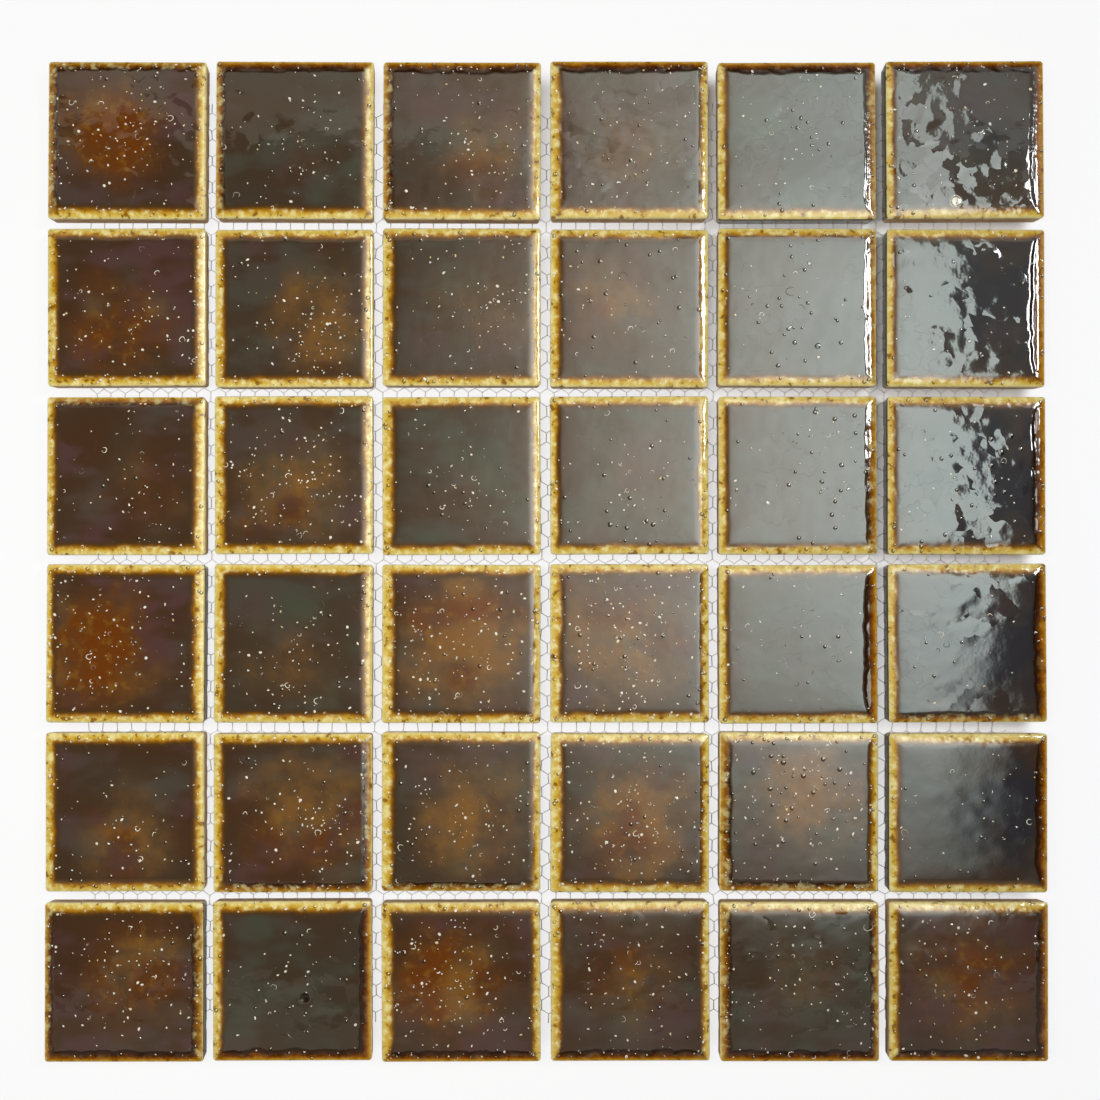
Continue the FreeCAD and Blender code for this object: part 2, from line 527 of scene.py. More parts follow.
def side_rings():
    """Half-width and height of each ring from the end of the shoulder down the nose and the side."""
    rings = []
    draft = math.atan2(SIDE_DRAFT, NOSE_HEIGHT)
    for angle in np.linspace(RIM_SLOPE, math.pi / 2 + draft, 4)[1:]:
        width = HALF_SIDE - NOSE_RADIUS + NOSE_RADIUS * math.sin(angle)
        rings.append((width, NOSE_HEIGHT + NOSE_RADIUS * math.cos(angle)))
    width, height = rings[-1]
    for drop in (0.25, 1.0):
        rings.append((width - drop * height * math.tan(draft), height * (1 - drop)))
    return rings


def groove_height(u, v):
    """How high the back lies: the keying grooves run along X and leave a land at both ends of Y."""
    spacing = 2 * HALF_SIDE / (GROOVE_COUNT + 1)
    middles = -HALF_SIDE + spacing * (1 + np.arange(GROOVE_COUNT))
    away = np.min(np.abs(v[:, None] - middles), axis=1)
    return np.where(away < GROOVE_WIDTH / 2, GROOVE_DEPTH, 0.0)


def on_sides(square_u, square_v, sides):
    """1 for each point along the edge that lies on one of the sides named, else 0."""
    ends = {"l": -square_u, "r": square_u, "b": -square_v, "t": square_v}
    return sum((ends[side] > SHOULDER_END - 0.01) * 1.0 for side in sides) + np.zeros(len(square_u))


def add_sides(parts, form, top_edge):
    """The nose, the bare side and the grooved back, from the edge of the top down."""
    edge, square_u, square_v = top_edge
    n, rings = len(edge), side_rings()
    # The walls named for this tile are glazed and painted dark below the nose, as painted shade in the
    # joints.
    dark = np.minimum(on_sides(square_u, square_v, form.shaded_walls), 1)
    points, insets, glazed, wall_shade = [], [], [], []
    for number, (width, height) in enumerate(rings):
        scale = width / SHOULDER_END
        u, v = round_corners(square_u * scale, square_v * scale, CORNER_RADIUS)
        uneven = 0.04 * lattice_noise(square_u + 90, square_v + height * 2, 2.2, form.seed + 7)
        bulge = 1 + uneven * (0.6 if number > 1 else 0.2) / HALF_SIDE
        heights = np.full(n, height) if height > 0 else groove_height(u, v)
        points.append(np.stack([u * bulge, v * bulge, heights], axis=1))
        insets.append(np.full(n, max(0.0, HALF_SIDE - width) if number < 2 else 0.0))
        run = 0.9 * lattice_noise(square_u + 40, square_v - 40, 2.6, form.seed + 8) ** 2
        glazed.append(np.maximum(smooth_step(height - NOSE_HEIGHT + run, -0.5, 0.3), dark))
        wall_shade.append(-dark * (number > 0))
    faces = []
    for number in range(len(rings) - 1):
        a, b = number * n, (number + 1) * n
        faces += [(a + (k + 1) % n, a + k, b + k, b + (k + 1) % n) for k in range(n)]
    side, last = n // 4, (len(rings) - 1) * n
    right = [last + side + k for k in range(side + 1)]
    left = [last + (4 * side - k) % n for k in range(side + 1)]
    faces += [(right[k], left[k], left[k + 1], right[k + 1]) for k in range(side)]
    near = [last + k for k in range(side, -1, -1)]
    far = [last + k for k in range(3 * side, 2 * side - 1, -1)]
    faces += [near, far]
    start = parts.count
    insets, glazed, wall_shade = (np.concatenate(column) for column in (insets, glazed, wall_shade))
    parts.add(np.concatenate(points), faces, inset=insets, glaze=glazed, blister=wall_shade)
    parts.faces.extend([[edge[(k + 1) % n], edge[k], start + k, start + (k + 1) % n] for k in range(n)])


DOME_SPOKES = 8
DOME_LEANS = [math.radians(lean) for lean in (30, 60, 90)]


def unit_dome():
    """A dome of radius 1: its points, with a flared foot, and its faces."""
    turns = np.arange(DOME_SPOKES) * math.tau / DOME_SPOKES
    points = [(0.0, 0.0, 1.0)]
    for lean in DOME_LEANS:
        reach = math.sin(lean) * (1.2 if lean == DOME_LEANS[-1] else 1.0)
        points += [(reach * math.cos(turn), reach * math.sin(turn), math.cos(lean)) for turn in turns]
    faces = [(0, 1 + k, 1 + (k + 1) % DOME_SPOKES) for k in range(DOME_SPOKES)]
    for ring in range(len(DOME_LEANS) - 1):
        a, b = 1 + ring * DOME_SPOKES, 1 + (ring + 1) * DOME_SPOKES
        for k in range(DOME_SPOKES):
            k_next = (k + 1) % DOME_SPOKES
            faces.append((a + k, b + k, b + k_next, a + k_next))
    return np.array(points), faces


def add_domes(parts, form, places, radius, bulge, stretch, pallor, lift=0.0):
    """Low domes, drawn out and turned at random. pallor is 1 for a cream crown, -1 for a dark foot."""
    dome, dome_faces = unit_dome()
    count = len(radius)
    heading = form.rng.uniform(0, math.pi, count)
    x = dome[:, 0] * (radius * stretch)[:, None]
    y = dome[:, 1] * (radius / stretch)[:, None]
    cos, sin = np.cos(heading)[:, None], np.sin(heading)[:, None]
    u = (places[:, :1] + x * cos - y * sin).ravel()
    v = (places[:, 1:] + x * sin + y * cos).ravel()
    rise = np.minimum(bulge * radius, TALLEST_BLISTER)[:, None] * dome[:, 2]
    foot = 0.02 * (dome[:, 2] < 0.01)
    z = form.height(u, v) + (rise - foot).ravel() + lift
    faces = [[i + number * len(dome) for i in face] for number in range(count) for face in dome_faces]
    # A dark foot is partly painted shade round the dome's base.
    shade = (pallor * np.where(pallor > 0, 0.15 + 0.85 * dome[:, 2:], 1 - 0.8 * dome[:, 2:])).T.ravel()
    parts.add(np.stack([u, v, z], axis=1), faces, blister=shade, **form.values(u, v))


def add_lip(parts, form, u, v, radius, opening, heading, pallor):
    """A burst blister: the low ridge that its lip leaves, closed or shaped like a C."""
    steps, section, taper_end = 20, 4, 0.12
    ridge = min(TALLEST_LIP, 0.05 + 0.07 * radius)
    angles = heading + opening / 2 + np.linspace(0, math.tau - opening, steps)
    taper = np.sin(np.linspace(taper_end, math.pi - taper_end, steps)) ** (0.5 if opening else 0.0)
    turns = np.linspace(0, math.pi, section)
    size = ridge * taper[:, None]
    uneven = 1 + 0.08 * np.sin(3 * angles + 9 * u)
    reach = (radius * uneven)[:, None] + size * np.cos(turns) * 1.3
    ring_u = (u + reach * np.cos(angles)[:, None]).ravel()
    ring_v = (v + reach * np.sin(angles)[:, None]).ravel()
    z = form.height(ring_u, ring_v) + (size * np.sin(turns)).ravel() - 0.02
    faces = [
        (s * section + k, (s + 1) * section + k, (s + 1) * section + k + 1, s * section + k + 1)
        for s in range(steps - 1)
        for k in range(section - 1)
    ]
    points = np.stack([ring_u, ring_v, z], axis=1)
    # The ridge's cream is partly a painted highlight.
    parts.add(points, faces, blister=pallor, **form.values(ring_u, ring_v))


def add_pearl(parts, form, blemish):
    """A flat cream blister with a small dark eye."""
    middle = np.array([[blemish.u, blemish.v]])
    one = np.ones(1)
    add_domes(parts, form, middle, 0.85 * blemish.radius * one, 0.07, one, one)
    eye = middle + [0.1, -0.3 * blemish.radius]
    add_domes(parts, form, eye, 0.42 * one, 0.35, one, -one)


def scattered(form, count, on_rim, in_patch):
    """Random places on the face: a share along the rims, a share round the rust, the rest anywhere."""
    rng, g = form.rng, form.glaze
    inside = HALF_SIDE - 1.0
    along, across = rng.uniform(-inside, inside, count), inside - np.abs(rng.normal(0, 1.5, count))
    side = rng.integers(4, size=count)
    rim_u = np.choose(side, [along, along, across, -across])
    rim_v = np.choose(side, [across, -across, along, along])
    patch = np.array(g.at) + rng.normal(0, 0.8 * g.spread, (count, 2))
    anywhere = rng.uniform(-inside + 1.5, inside - 1.5, (count, 2))
    draw = rng.random(count)[:, None]
    places = np.where(draw < on_rim, np.stack([rim_u, rim_v], axis=1), anywhere)
    places = np.where((draw >= on_rim) & (draw < on_rim + in_patch), patch, places)
    return np.clip(places, -inside, inside)


def add_blisters(parts, form):
    """Pale crystals, dark bubbles with a cream dome beside each as a painted glint, and lips where
    bubbles have burst.
    """
    g, rng = form.glaze, form.rng
    places = scattered(form, g.crystals, on_rim=0.35, in_patch=0.35)
    least, most = CRYSTAL_RADII
    radius = np.minimum(most, least * np.exp(np.abs(rng.normal(0, 0.5, g.crystals))))
    stretch, pallor = rng.uniform(1.0, 1.35, g.crystals), rng.uniform(0.42, 1.0, g.crystals)
    add_domes(parts, form, places, radius, CRYSTAL_BULGE, stretch, pallor)
    places, radius = form.bubbles, form.bubble_radii
    stretch = rng.uniform(1.0, 1.15, len(radius))
    one = np.ones(len(radius))
    # Dark bubbles, darkest at the foot, partly as painted shade.
    add_domes(parts, form, places, radius, BUBBLE_BULGE, stretch, -one)
    # A small cream dome beside each bubble, set towards the north-east, is a painted glint.
    aside = places + radius[:, None] * (0.3, 0.35)
    add_domes(parts, form, aside, 0.12 + 0.2 * radius, PAINTED_GLINT_BULGE, stretch, one, lift=PAINTED_GLINT_LIFT)
    for u, v in scattered(form, 4 + g.crystals // 16, on_rim=0.2, in_patch=0.4):
        opening = rng.choice([1.2, 2.4, 3.6])
        radius, heading, pallor = (rng.uniform(*ends) for ends in (LIP_RADII, (0, 6.28), (0.2, 0.9)))
        add_lip(parts, form, u, v, radius, opening, heading, pallor)


def laid(points, node, row, column):
    """Points moved from a tile's own place to where its node lies."""
    low, high = (np.array(corner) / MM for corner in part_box(node))
    turn = math.sin(8.3 * row + 5.6 * column + 4.0) * LAY_TURN
    spin = np.array([[math.cos(turn), -math.sin(turn)], [math.sin(turn), math.cos(turn)]])
    flat = points[:, :2] @ spin.T + ((low + high) / 2)[:2]
    return np.column_stack([flat, points[:, 2] + low[2]])


def make_tile(row, column, material):
    node = f"tile_row_{row}_column_{column}"
    form = TileForm(row, column)
    parts = MeshParts()
    add_sides(parts, form, add_top(parts, form))
    add_blisters(parts, form)
    for b in form.blemishes:
        add_lip(parts, form, b.u, b.v, b.radius, b.opening, 2.0 * b.u + b.v, abs(b.pallor) * 0.6)
        if b.pallor == 1:
            add_pearl(parts, form, b)
    points = laid(np.concatenate(parts.points), node, row, column)
    piece = parts.to_object(f"glazed_{node}", points * MM, material)
    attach(piece, "root")
    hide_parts(node)


# Materials

class Graph:
    """The nodes of a material or a world, wired by name."""

    def __init__(self, name, kind="materials"):
        self.owner = getattr(bpy.data, kind).new(name)
        self.owner.use_nodes = True
        self.tree = self.owner.node_tree
        self.tree.nodes.clear()

    def node(self, kind, settings=None, **inputs):
        made = self.tree.nodes.new(kind)
        for key, value in (settings or {}).items():
            setattr(made, key, value)
        for key, value in inputs.items():
            self.set(made, key, value)
        return made

    def set(self, node, key, value):
        socket = node.inputs[int(key[1:]) if key[1:].isdigit() else key.replace("_", " ")]
        if isinstance(value, bpy.types.NodeSocket):
            self.tree.links.new(value, socket)
        else:
            socket.default_value = value

    def attribute(self, name):
        return self.node("ShaderNodeAttribute", {"attribute_name": name}).outputs["Fac"]

    def place(self):
        """Each point's place in metres, from its object's origin."""
        return self.node("ShaderNodeTexCoord").outputs["Object"]

    def x_and_y(self, place):
        return self.node("ShaderNodeSeparateXYZ", i0=place).outputs[:2]

    def math(self, operation, a, *others):
        """Joins the first value with each of the others in turn."""
        for b in others or (0.0,):
            a = self.node("ShaderNodeMath", {"operation": operation}, i0=a, i1=b).outputs[0]
        return a

    def plus(self, *terms):
        return self.math("ADD", *terms)

    def minus(self, a, b):
        return self.math("SUBTRACT", a, b)

    def times(self, *factors):
        return self.math("MULTIPLY", *factors)

    def noise(self, place, scale, detail=2.0, rough=0.5):
        """Noise of about so many lumps a metre."""
        made = self.node("ShaderNodeTexNoise", Vector=place, Scale=scale, Detail=detail, Roughness=rough)
        return made.outputs["Fac"]

    def range(self, value, low, high, to_low=0.0, to_high=1.0, smooth=True):
        kind = {"interpolation_type": "SMOOTHSTEP" if smooth else "LINEAR"}
        ends = {"From_Min": low, "From_Max": high, "To_Min": to_low, "To_Max": to_high}
        return self.node("ShaderNodeMapRange", kind, Value=value, **ends).outputs["Result"]

    def vector(self, operation, a, b, c=(0.0, 0.0, 0.0)):
        return self.node("ShaderNodeVectorMath", {"operation": operation}, i0=a, i1=b, i2=c)

    def cells(self, place, scale):
        """A flat pattern of cells, about so many a metre."""
        flat = {"voronoi_dimensions": "2D"}
        return self.node("ShaderNodeTexVoronoi", flat, Vector=place, Scale=scale).outputs

    def mix(self, share, a, b):
        return self.node("ShaderNodeMix", {"data_type": "RGBA"}, i0=share, i6=a, i7=b).outputs[2]

    def ramp(self, value, stops):
        made = self.node("ShaderNodeValToRGB", Fac=value)
        ramp = made.color_ramp
        while len(ramp.elements) < len(stops):
            ramp.elements.new(0.5)
        for element, (place, colour) in zip(ramp.elements, stops):
            element.position = place
            element.color = colour
        return made.outputs["Color"]

    def glow(self, colour, strength):
        return self.node("ShaderNodeEmission", Color=colour, Strength=strength)

    def surface(self, shader, output="ShaderNodeOutputMaterial"):
        """Ends the graph in that shader. Returns its material or world."""
        self.node(output, Surface=shader.outputs[0])
        return self.owner


def rgb(red, green, blue):
    """A colour as seen on a screen, from 0 to 255, as the linear value that a shader takes."""
    shares = [c / 255 for c in (red, green, blue)]
    linear = [((c + 0.055) / 1.055) ** 2.4 if c > 0.04 else c / 12.92 for c in shares]
    return (*linear, 1.0)


RIM_RAMP = 6.0


def rim_stops(colours):
    """Colours at insets in millimetres, as stops over the ramp's length."""
    return [(inset / RIM_RAMP, rgb(*colour)) for inset, colour in colours]


SOFT_RIM = [
    (0.0, (238, 222, 166)),
    (0.35, (234, 212, 128)),
    (1.0, (228, 194, 78)),
    (1.7, (212, 164, 44)),
    (2.2, (180, 126, 26)),
    (2.7, (132, 84, 18)),
    (3.3, (88, 60, 24)),
    (4.4, (72, 54, 34)),
]
CRISP_RIM = [
    (0.0, (216, 188, 122)),
    (0.35, (200, 158, 66)),
    (0.9, (182, 128, 26)),
    (1.4, (140, 84, 8)),
    (1.9, (92, 50, 5)),
    (2.3, (66, 34, 4)),
    (2.7, (52, 28, 6)),
    (3.4, (60, 40, 22)),
]
DEEP_RIM = [
    (0.0, (222, 184, 96)),
    (0.35, (214, 164, 52)),
    (0.9, (188, 126, 16)),
    (1.3, (144, 80, 6)),
    (1.8, (98, 48, 3)),
    (2.4, (62, 28, 2)),
    (3.4, (44, 22, 5)),
    (4.4, (48, 32, 20)),
]


def bent(g, place, scale, reach):
    """The place pushed about by noise, so that round cells turn out uneven."""
    push = g.node("ShaderNodeTexNoise", Vector=place, Scale=scale, Detail=0.0).outputs["Color"]
    return g.vector("MULTIPLY_ADD", push, (reach,) * 3, place).outputs[0]


def rim_colour(g, place, depth, sharp, deep):
    """Thin glaze over the shoulder: honey gold, mottled, and brown where it thickens."""
    share = g.math("DIVIDE", depth, RIM_RAMP)
    # The crisp and deep ramps' dark brown, set mostly on the sheet's outer sides, is partly painted
    # shade.
    rim = g.mix(sharp, g.ramp(share, rim_stops(SOFT_RIM)), g.ramp(share, rim_stops(CRISP_RIM)))
    rim = g.mix(deep, rim, g.ramp(share, rim_stops(DEEP_RIM)))
    outer = g.range(depth, 2.9, 1.7)
    mottle = g.noise(place, 360, 2.0, 0.62)
    # Pale cream mottles on the outer rim, partly painted glints, fewer on crisp and deep sides.
    light = g.times(outer, g.range(mottle, 0.46, 0.68, 0.0, 0.8))
    light = g.times(light, g.range(g.plus(sharp, deep), 0.0, 2.0, 1.0, 0.1))
    rim = g.mix(light, rim, rgb(255, 242, 168))
    spots = g.times(outer, g.range(mottle, 0.42, 0.32, 0.0, 0.85))
    return g.mix(spots, rim, rgb(134, 82, 4))


def pool_colour(g, place, rust, tone):
    """The dark pool: plum to bottle green, with iron showing through as rust and gold mottles."""
    banded = g.vector("MULTIPLY", place, (0.7, 1.3, 1.0)).outputs[0]
    patches = g.range(g.noise(banded, 75, 2.0, 0.5), 0.42, 0.62)
    plum = g.mix(patches, rgb(74, 50, 32), rgb(86, 60, 56))
    olive = g.mix(patches, rgb(70, 60, 46), rgb(74, 76, 60))
    dark = g.mix(tone, plum, olive)
    mottle = g.noise(place, 230, 3.0, 0.6)
    iron = g.times(rust, g.range(mottle, 0.3, 0.65, 0.8, 1.2))
    # Where rust is below 0 the pool is painted dark grey, as painted shade.
    dark = g.mix(g.range(rust, 0.0, -0.6), dark, rgb(50, 47, 50))
    golden = g.range(tone, 0.15, 0.5)
    brown = g.mix(g.range(iron, 0.03, 0.7), dark, g.mix(golden, rgb(102, 62, 28), rgb(122, 88, 48)))
    rusty = g.mix(g.range(iron, 0.4, 1.1), brown, g.mix(golden, rgb(112, 58, 14), rgb(132, 88, 34)))
    gold = g.noise(place, 300, 2.0, 0.5)
    flecks = g.times(g.range(gold, 0.5, 0.72, 0.0, 0.5), g.range(rust, 0.15, 0.7))
    return g.mix(flecks, rusty, rgb(146, 102, 36))


SPECKS_PER_METRE = 400.0
SPECK_SIZES = (0.04, 0.15)
SPECK_SHADOW = (0.00016, 0.00012, 0.0)
SHADOW_SPREAD = 0.03
SPECK_STRENGTH = 0.95


def speck_mask(g, place, density, spread=0.0):
    """One speck in a share of the cells, each of its own size. Returns its mask and its own chance."""
    cells = g.cells(place, SPECKS_PER_METRE)
    chance = g.node("ShaderNodeSeparateColor", i0=cells["Color"])
    present = g.math("LESS_THAN", chance.outputs[0], density)
    smallest, largest = (size + spread for size in SPECK_SIZES)
    size = g.range(chance.outputs[1], 0.0, 1.0, smallest, largest, smooth=False)
    near = g.minus(size, cells["Distance"])
    return g.times(g.range(near, 0.0, 0.05), present), chance.outputs[2]


def add_specks(g, place, colour, density):
    """Pale crystals just under the surface, their white partly a painted glint, each with a painted
    shadow on one side.
    """
    uneven = bent(g, place, 2.5 * SPECKS_PER_METRE, 0.35 / SPECKS_PER_METRE)
    moved = g.vector("ADD", uneven, SPECK_SHADOW).outputs[0]
    shadow, _ = speck_mask(g, moved, density, SHADOW_SPREAD)
    speck, tint = speck_mask(g, uneven, density)
    # A painted shadow beside each speck.
    colour = g.mix(g.times(shadow, 0.7 * SPECK_STRENGTH), colour, rgb(32, 19, 8))
    pale = g.mix(tint, rgb(240, 206, 140), rgb(255, 252, 242))
    return g.mix(g.times(speck, SPECK_STRENGTH), colour, pale)


def bare_colour(g, place):
    """Fired clay where the glaze stops, stained here and there."""
    return g.mix(g.noise(place, 260, 2.0, 0.7), rgb(160, 122, 70), rgb(226, 194, 144))


PLATES_PER_METRE = 200.0


def plates(g, place, slope):
    """The height of patches of glaze that have set at slightly different tilts, of up to that slope."""
    cells = g.cells(bent(g, place, 2.0 * PLATES_PER_METRE, 0.9 / PLATES_PER_METRE), PLATES_PER_METRE)
    tilt = g.vector("MULTIPLY_ADD", cells["Color"], (2.0, 2.0, 0.0), (-1.0, -1.0, 0.0)).outputs[0]
    away = g.vector("SUBTRACT", place, cells["Position"]).outputs[0]
    return g.times(g.vector("DOT_PRODUCT", tilt, away).outputs["Value"], slope)


def glaze_relief(g, place, inset, sharp, wavy):
    """Fine relief in metres: swells, tilted plates, a crisp pool's lip and the rim's lumps."""
    pool = g.range(inset, 2.2, 3.4)
    swell_height = g.range(wavy, 0.0, 2.5, 0.00001, 0.00003, smooth=False)
    swell = g.times(g.noise(place, 280, 2.0, 0.55), swell_height)
    torn = g.times(g.range(g.noise(place, 90, 0.0), 0.45, 0.6), pool)
    slope = g.times(torn, g.range(wavy, 0.8, 2.4, 0.002, 0.03, smooth=False))
    tilted = plates(g, place, slope)
    lip = g.times(g.minus(pool, 1.0), sharp, 0.00005)
    on_rim = g.range(pool, 0.0, 1.0, 0.00003, 0.0, smooth=False)
    lumps = g.times(g.noise(place, 800, 0.0), on_rim)
    return g.plus(swell, tilted, lip, lumps)


def glaze_material():
    g = Graph("amber and plum reactive glaze over stoneware")
    place = g.place()
    inset, crisp, rust, tone, speck, wavy, glazed, blister = map(g.attribute, MeshParts.DEFAULTS)
    sharp = g.math("MINIMUM", crisp, 1.0)
    deep = g.range(crisp, 1.0, 2.0, smooth=False)
    wander = g.range(g.noise(place, 600, 2.0, 0.55), 0.25, 0.75, -0.22, 0.22, smooth=False)
    depth = g.plus(inset, wander)
    rim = rim_colour(g, place, depth, sharp, deep)
    pool_start = g.plus(g.times(sharp, -1.1), g.times(deep, DEEP_SHIFT))
    pool_width = g.plus(g.times(sharp, -0.95), 1.1)
    into_pool = g.minus(g.minus(depth, 4.0), pool_start)
    pool = g.range(g.math("DIVIDE", into_pool, pool_width), -1.0, 1.0)
    colour = g.mix(pool, rim, pool_colour(g, place, rust, tone))

    density = g.plus(g.range(speck, 0.0, 1.0, 0.03, 0.34), g.range(depth, 3.2, 1.6, 0.0, 0.12))
    colour = add_specks(g, place, colour, density)
    # Cream where blister is positive: crystal crowns, pearls and lips, partly painted highlight, and the
    # painted glints beside bubbles. Dark where it is negative: dark domes, partly painted shade at their
    # feet, and painted shade inside pits and on the shaded walls.
    colour = g.mix(g.range(blister, 0.3, 0.7, 0.0, 0.95), colour, rgb(255, 246, 222))
    colour = g.mix(g.range(blister, -0.1, -0.6, 0.0, 0.85), colour, rgb(28, 16, 8))

    line = g.range(g.math("ABSOLUTE", g.minus(glazed, 0.45)), 0.25, 0.0)
    colour = g.mix(glazed, bare_colour(g, place), colour)
    colour = g.mix(g.times(line, 0.35), colour, rgb(110, 76, 34))

    relief = glaze_relief(g, place, inset, sharp, wavy)
    bump = g.node("ShaderNodeBump", Strength=1.0, Distance=1.0, Height=relief)
    gloss = g.range(pool, 0.0, 1.0, 0.1, 0.05)
    rough = g.range(glazed, 0.0, 1.0, 0.65, gloss)
    looks = {"Base_Color": colour, "Roughness": rough, "IOR": 1.52, "Normal": bump.outputs[0]}
    return g.surface(g.node("ShaderNodeBsdfPrincipled", **looks))


def net_material():
    g = Graph("white knitted glass fibre thread")
    fibres = g.noise(g.place(), 2600, 2.0, 0.6)
    colour = g.mix(fibres, rgb(226, 220, 210), rgb(250, 248, 244))
    bump = g.node("ShaderNodeBump", Strength=0.5, Distance=0.0001, Height=fibres)
    looks = {"Base_Color": colour, "Roughness": 0.75, "Sheen_Weight": 0.2, "Normal": bump.outputs[0]}
    return g.surface(g.node("ShaderNodeBsdfPrincipled", **looks))


# The net

def net_edges(width, length):
    """Ends and weight of every thread of a net of six-sided cells, with its upright threads along Y."""
    leg = CELL_PERIOD / 3
    half = CELL_WIDTH / 2
    rise = CELL_PERIOD / 2 - leg
    across = int(width / CELL_WIDTH)
    up = int(length / (CELL_PERIOD / 2))
    edges = []
    for row in range(up):
        y = -length / 2 + (row + 0.5) * CELL_PERIOD / 2
        for column in range(across):
            x = -width / 2 + (column + 0.5 + 0.5 * (row % 2)) * CELL_WIDTH
            if x > width / 2 - half:
                continue
            foot, head = (x, y - leg / 2), (x, y + leg / 2)
            edges.append((foot, head, UPRIGHT_WEIGHT))
            for beside in (x - half, x + half) if row < up - 1 else ():
                if abs(beside) < width / 2:
                    edges.append((head, (beside, y + leg / 2 + rise), SLANT_WEIGHT))
    return edges


def jittered(points):
    """Knots a little off the even pattern, which also sways as a whole."""
    x, y = points.T
    knots = np.stack([lattice_noise(x, y, 3.1, 51), lattice_noise(x, y, 2.7, 52)], axis=1)
    sways = np.stack([lattice_noise(x, y, 40, 53), lattice_noise(x, y, 35, 54)], axis=1)
    return points + KNOT_JITTER * knots + np.array(NET_SWAY) * sways


def make_net(material):
    low, high = (np.array(corner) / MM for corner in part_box("backing_net"))
    size, middle = high - low, (low + high) / 2
    edges = net_edges(size[0] - 2 * NET_MARGIN, size[1] - 2 * NET_MARGIN)
    starts, ends = (jittered(np.array([edge[k] for edge in edges])) for k in (0, 1))
    weights = np.array([edge[2] for edge in edges])[:, None]
    along = (ends - starts) / np.linalg.norm(ends - starts, axis=1)[:, None]
    side = np.stack([-along[:, 1], along[:, 0]], axis=1) * THREAD_WIDTH / 2 * weights
    corners = []
    for end in (starts - KNOT_OVERLAP * along, ends + KNOT_OVERLAP * along):
        for aside, height in ((1, -0.5), (0, 0.5), (-1, -0.5)):
            lift = np.full((len(edges), 1), middle[2] + height * THREAD_HEIGHT)
            corners.append(np.concatenate([end + aside * side + middle[:2], lift], axis=1))
    points = np.stack(corners, axis=1).reshape(-1, 3)
    prism = [(0, 1, 4, 3), (1, 2, 5, 4), (2, 0, 3, 5), (2, 1, 0), (3, 4, 5)]
    faces = [[first + i for i in face] for first in range(0, len(points), 6) for face in prism]
    piece = mesh_object("knitted_net", points * MM, faces, material)
    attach(piece, "root")
    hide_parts("backing_net")


# The camera, which looks almost straight down from near the sheet's middle

PHOTO_SIZE = 1100
PHOTO_SCALE = 3.311
SHEET_CENTRE_PX = (546.5, 559.3)
CAMERA_FOOT_MM = (-11.6, -11.6)
CAMERA_ABOVE_GLAZE_MM = 350.0
CAMERA_TILT = math.radians(0.55)
SENSOR_MM = 36.0

glaze_level = cad_box[1][2] / MM
camera_height = glaze_level + CAMERA_ABOVE_GLAZE_MM
camera_foot = [length * MM for length in CAMERA_FOOT_MM]


def make_camera():
    data = bpy.data.cameras.new("camera")
    data.sensor_width = SENSOR_MM
    data.lens = SENSOR_MM * CAMERA_ABOVE_GLAZE_MM * PHOTO_SCALE / PHOTO_SIZE
    axis_x = SHEET_CENTRE_PX[0] + CAMERA_FOOT_MM[0] * PHOTO_SCALE
    axis_y = SHEET_CENTRE_PX[1] - CAMERA_FOOT_MM[1] * PHOTO_SCALE
    axis_y -= CAMERA_ABOVE_GLAZE_MM * math.tan(CAMERA_TILT) * PHOTO_SCALE
    data.shift_x = (PHOTO_SIZE / 2 - axis_x) / PHOTO_SIZE
    data.shift_y = (axis_y - PHOTO_SIZE / 2) / PHOTO_SIZE
    data.clip_start = 0.01
    camera = add_object("camera", data)
    camera.location = (*camera_foot, camera_height * MM)
    camera.rotation_euler = (CAMERA_TILT, 0, 0)
    bpy.context.scene.camera = camera


# The studio

CEILING_HEIGHT = 1.0
CEILING_REACH = 4.0
CEILING_GLOW = 0.04
PANEL_GLOW = 8.9
ROOM_LIGHT = 0.12
TABLE_REACH = 2.0
TABLE_DROP = 0.0002
SHEET_REACH = 0.149

# The window that the tiles' right edges mirror: its place and aim, half its width and height, its glow
WINDOW_PLACE = (0.67, 0.31, 0.80)
WINDOW_AIM = (0.1, 0.05, 0.0)
WINDOW_HALF = (0.145, 0.065)
WINDOW_GLOW = 44.0

# Each lamp's name, place, aim, size and power
LAMPS = [
    ("window light", WINDOW_PLACE, (0, 0, 0), 0.25, 3.6),
    ("fill from the west", (-0.6, 0.0, 0.6), (0, 0, 0), 0.4, 1.8),
    ("key above the sheet", (-0.09, 0.0, 0.36), (-0.09, 0.0, 0.0), 0.16, 0.56),
]


# The ceiling's bright panel: where each fade starts and ends as the sheet mirrors it, in metres, and
# then what it goes from and to. The panel brightens eastwards up to a slanting edge.
PANEL_RAMP = (-0.075, 0.15)
EAST_EDGE = (0.03, 0.15, 0.1445, 0.129)
EAST_EDGE_SOUTH = (0.02, -0.02, 0.0, 0.004)
EAST_SOFTNESS = (-0.07, 0.04, 0.016, 0.002)
SOUTH_FADE = (-0.125, 0.03)
NORTH_DIMMING = (0.16, 0.09, 0.6, 1.0)
NORTH_FADE = (0.21, 0.175)
WARM_TO_COOL = (-0.02, 0.12)

# Strips beyond the panel, which the tiles' sloping rims mirror
TOP_STRIP = (-0.085, -0.1, 0.137, 0.146)
TOP_END = (0.30, 0.22)
BOTTOM_STRIP = (-0.117, -0.120, 0.0, 0.35)
BOTTOM_END = (-0.30, -0.22)
EAST_STRIP = (0.132, 0.14)
EAST_END = (0.2, 0.16)
EAST_RISE = (-0.05, 0.08, 0.02, 0.42)


